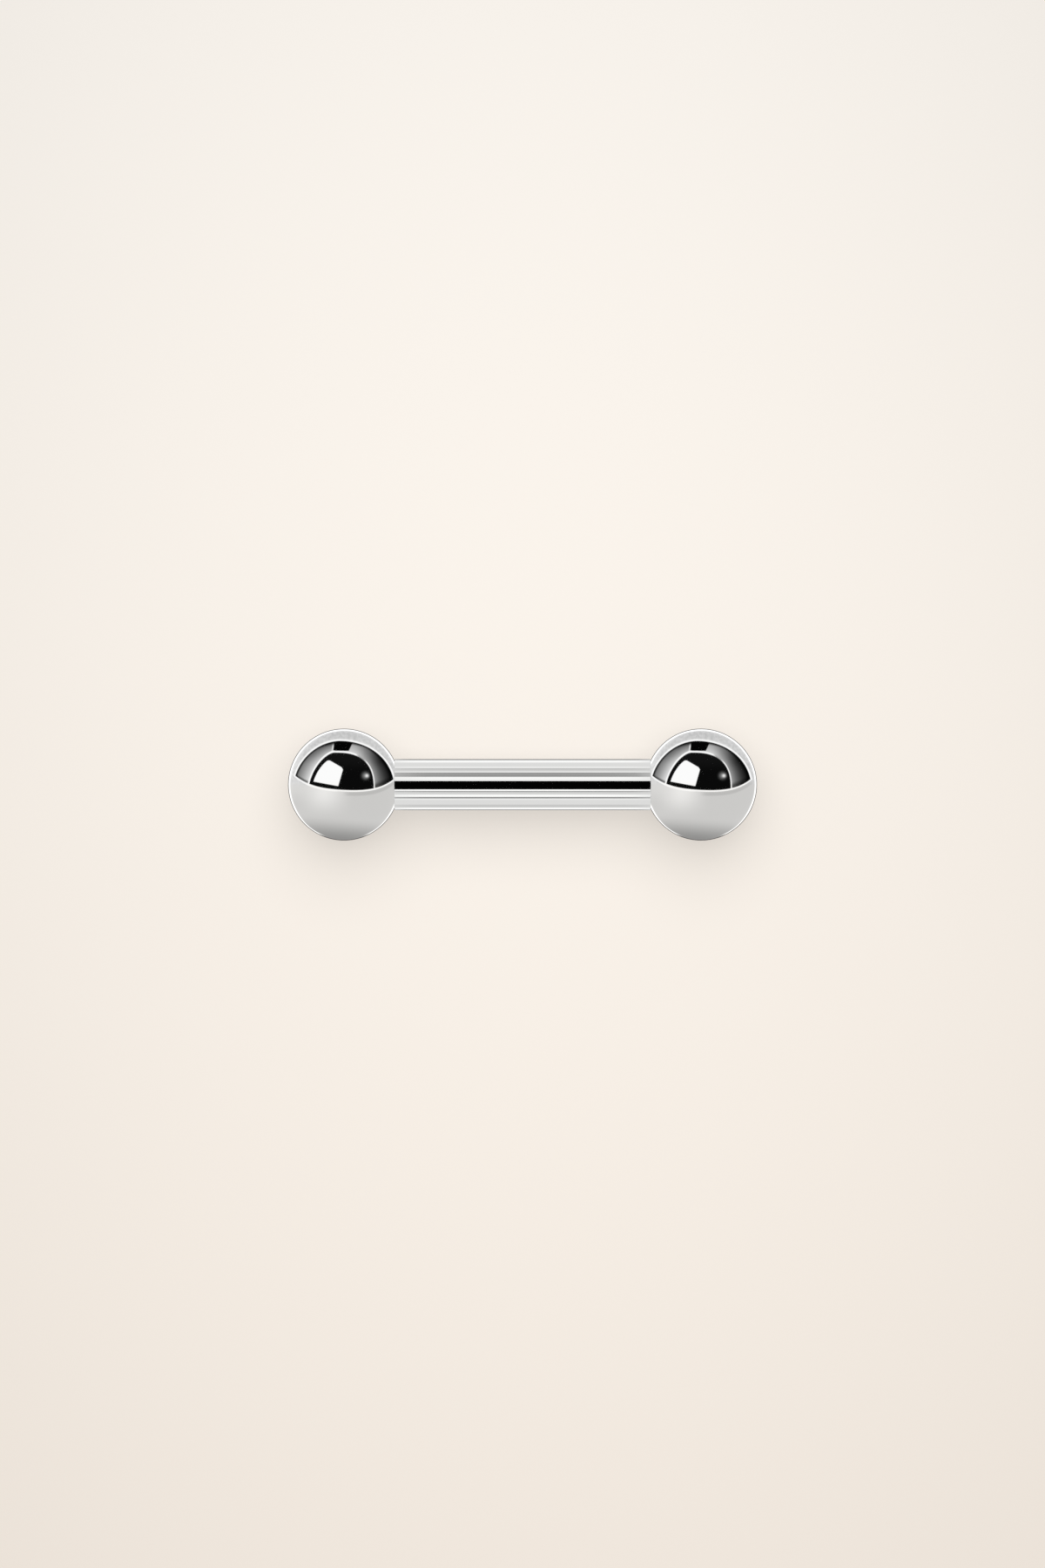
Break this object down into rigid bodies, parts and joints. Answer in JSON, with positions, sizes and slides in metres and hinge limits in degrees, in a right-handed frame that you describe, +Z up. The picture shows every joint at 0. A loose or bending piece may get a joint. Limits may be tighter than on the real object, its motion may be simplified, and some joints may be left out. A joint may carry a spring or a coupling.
{
  "type": "straight surface barbell",
  "caption": "Straight steel piercing bar with a polished ball screwed into each end; a ball comes off so that the bar can pass through the piercing.",
  "frame": {"origin": "middle of the bar, on its axis", "axes": "+X along the bar, towards the right ball; +Z up, away from the surface that the two balls rest on"},
  "size_m": [0.0146, 0.0034, 0.0034],
  "materials": {
    "polished_steel": "mirror polished surgical steel"
  },
  "bodies": {
    "bar": {"bar": "polished_steel"},
    "ball_left": {"ball_left": "polished_steel"},
    "ball_right": {"ball_right": "polished_steel"}
  },
  "joints": [
    {"name": "ball_left_unscrew", "type": "slide", "parent": "bar", "child": "ball_left", "axis": [-1, 0, 0], "range_m": [0, 0.01]},
    {"name": "ball_right_unscrew", "type": "slide", "parent": "bar", "child": "ball_right", "axis": [1, 0, 0], "range_m": [0, 0.01]}
  ]
}
